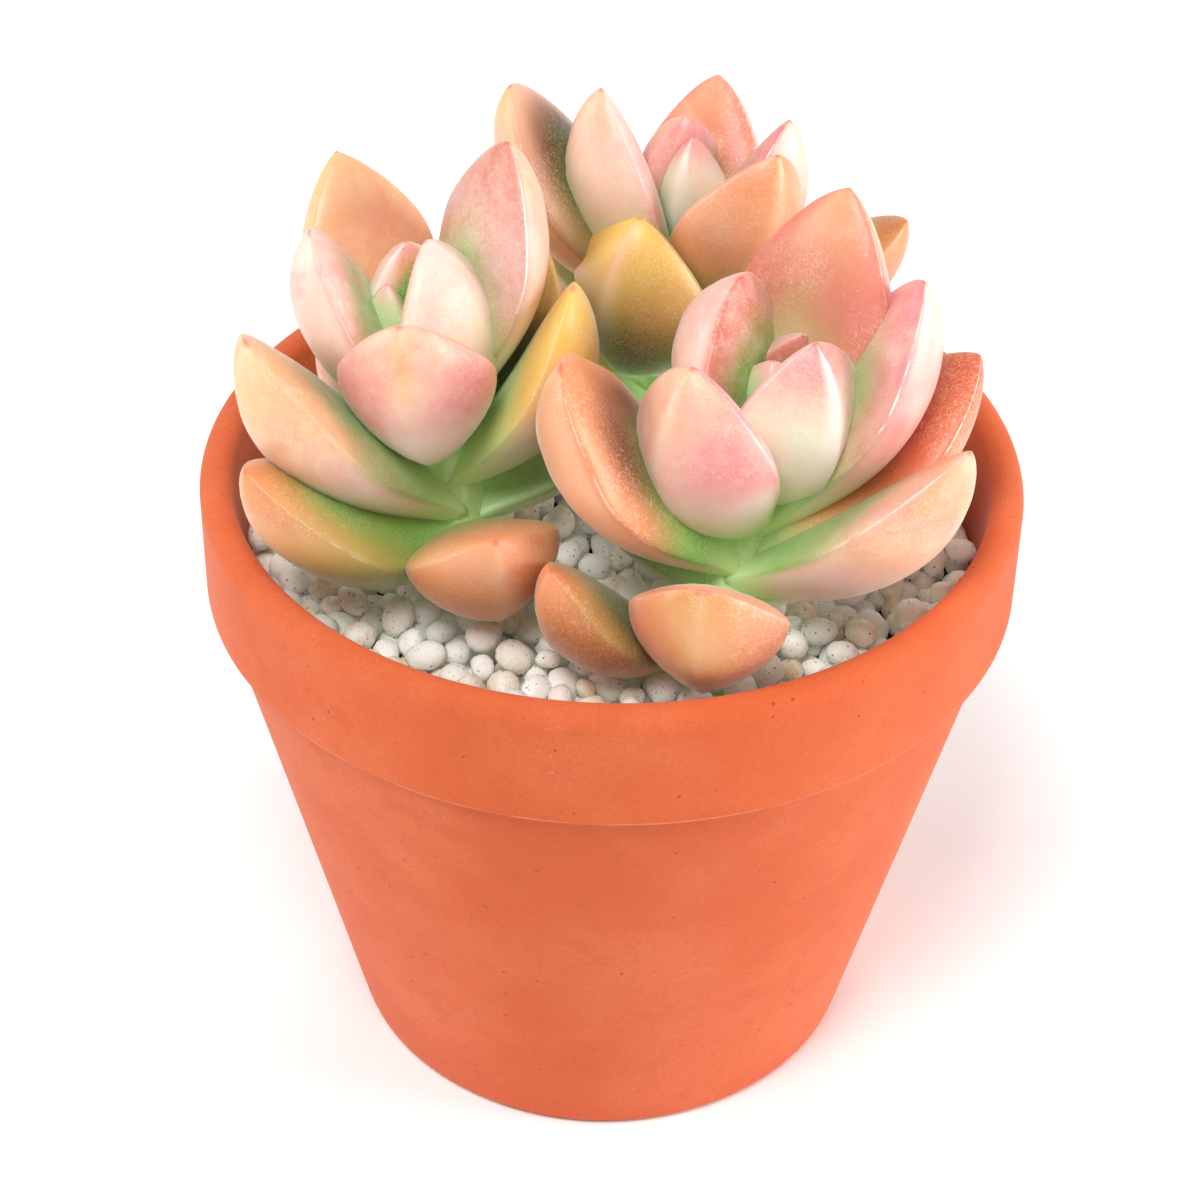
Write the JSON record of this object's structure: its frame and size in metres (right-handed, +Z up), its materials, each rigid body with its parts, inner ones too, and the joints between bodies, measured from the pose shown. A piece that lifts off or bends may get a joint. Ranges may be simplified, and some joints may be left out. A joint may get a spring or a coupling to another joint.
{
  "type": "potted graptosedum",
  "caption": "Rosettes of thick pointed leaves in peach, pink and green on short stems, over white pebbles in a tapered terracotta pot with a straight rim band.",
  "frame": {"origin": "middle of the pot's foot, on the surface that it stands on", "axes": "+Z up along the pot's axis; the pictured side faces -Y, with +X to the viewer's right"},
  "size_m": [0.11, 0.11, 0.1396],
  "materials": {
    "terracotta": "unglazed fired clay, fine pits and specks",
    "potting_soil": "crumbly, dark",
    "white_pebbles": "smooth worn stone, off-white with brown specks",
    "leaf": "waxy succulent skin with a powdery bloom, peach and pink over green"
  },
  "bodies": {
    "root": {"pot": "terracotta", "soil": "potting_soil", "gravel": "white_pebbles", "plant_left": "leaf", "plant_back": "leaf", "plant_right": "leaf"}
  },
  "joints": []
}
